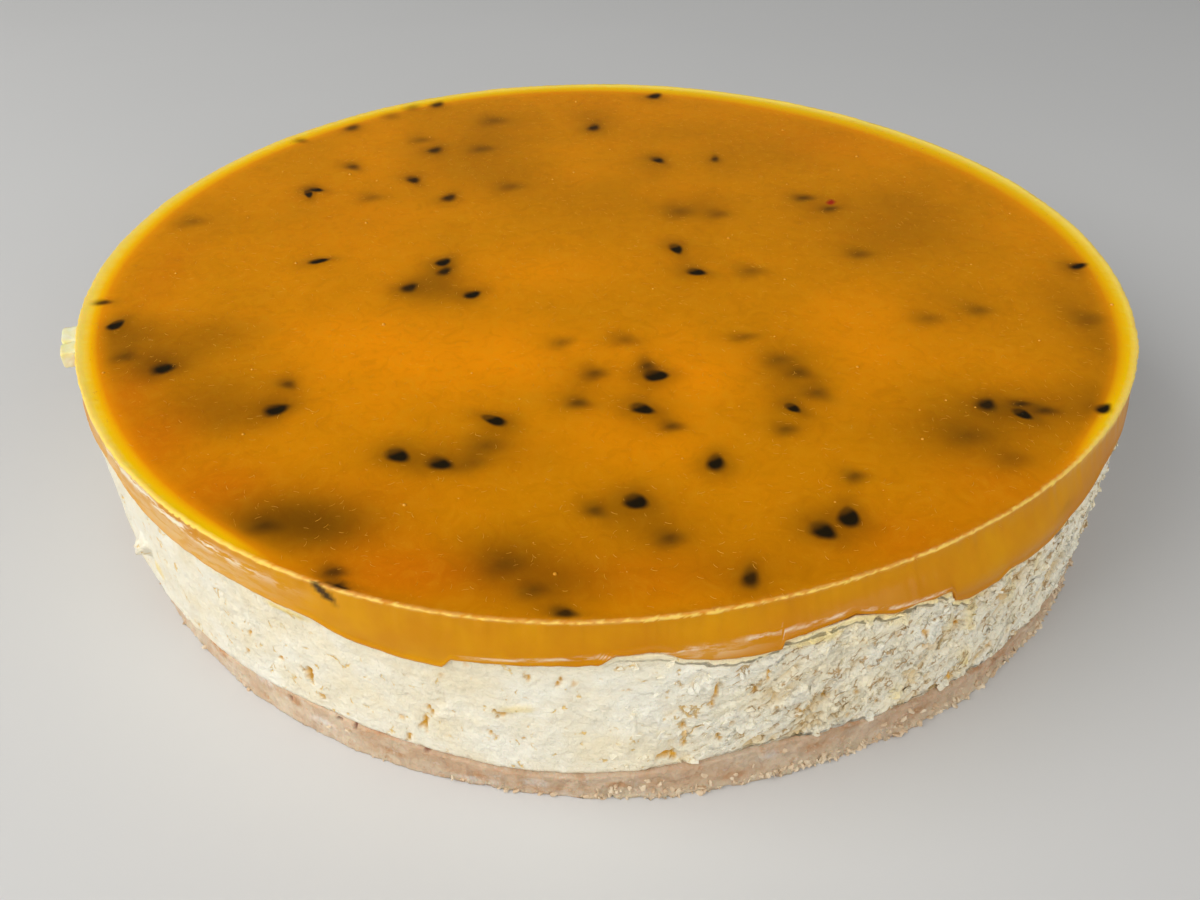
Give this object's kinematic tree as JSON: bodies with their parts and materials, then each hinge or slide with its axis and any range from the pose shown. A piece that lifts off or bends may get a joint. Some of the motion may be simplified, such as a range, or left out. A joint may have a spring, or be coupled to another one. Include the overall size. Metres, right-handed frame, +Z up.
{
  "type": "passion fruit cheesecake",
  "caption": "Whole round set cheesecake: pressed biscuit base, cream cheese filling and a passion fruit jelly top, free-standing on its flat underside.",
  "frame": {"origin": "middle of the flat underside of the biscuit base, on the cake's axis", "axes": "+Z up along the cake's axis; -Y is the side that faces the viewer; +X to the viewer's right"},
  "size_m": [0.2309, 0.2307, 0.0419],
  "materials": {
    "pressed_biscuit": "crumbly pressed biscuit, matt with fatty patches",
    "cream_cheese": "moist cream cheese, craggy, soft low sheen",
    "set_jelly": "glossy translucent set fruit jelly with black seeds in it"
  },
  "bodies": {
    "root": {"biscuit_base": "pressed_biscuit", "cream_filling": "cream_cheese", "passionfruit_jelly": "set_jelly"}
  },
  "joints": []
}
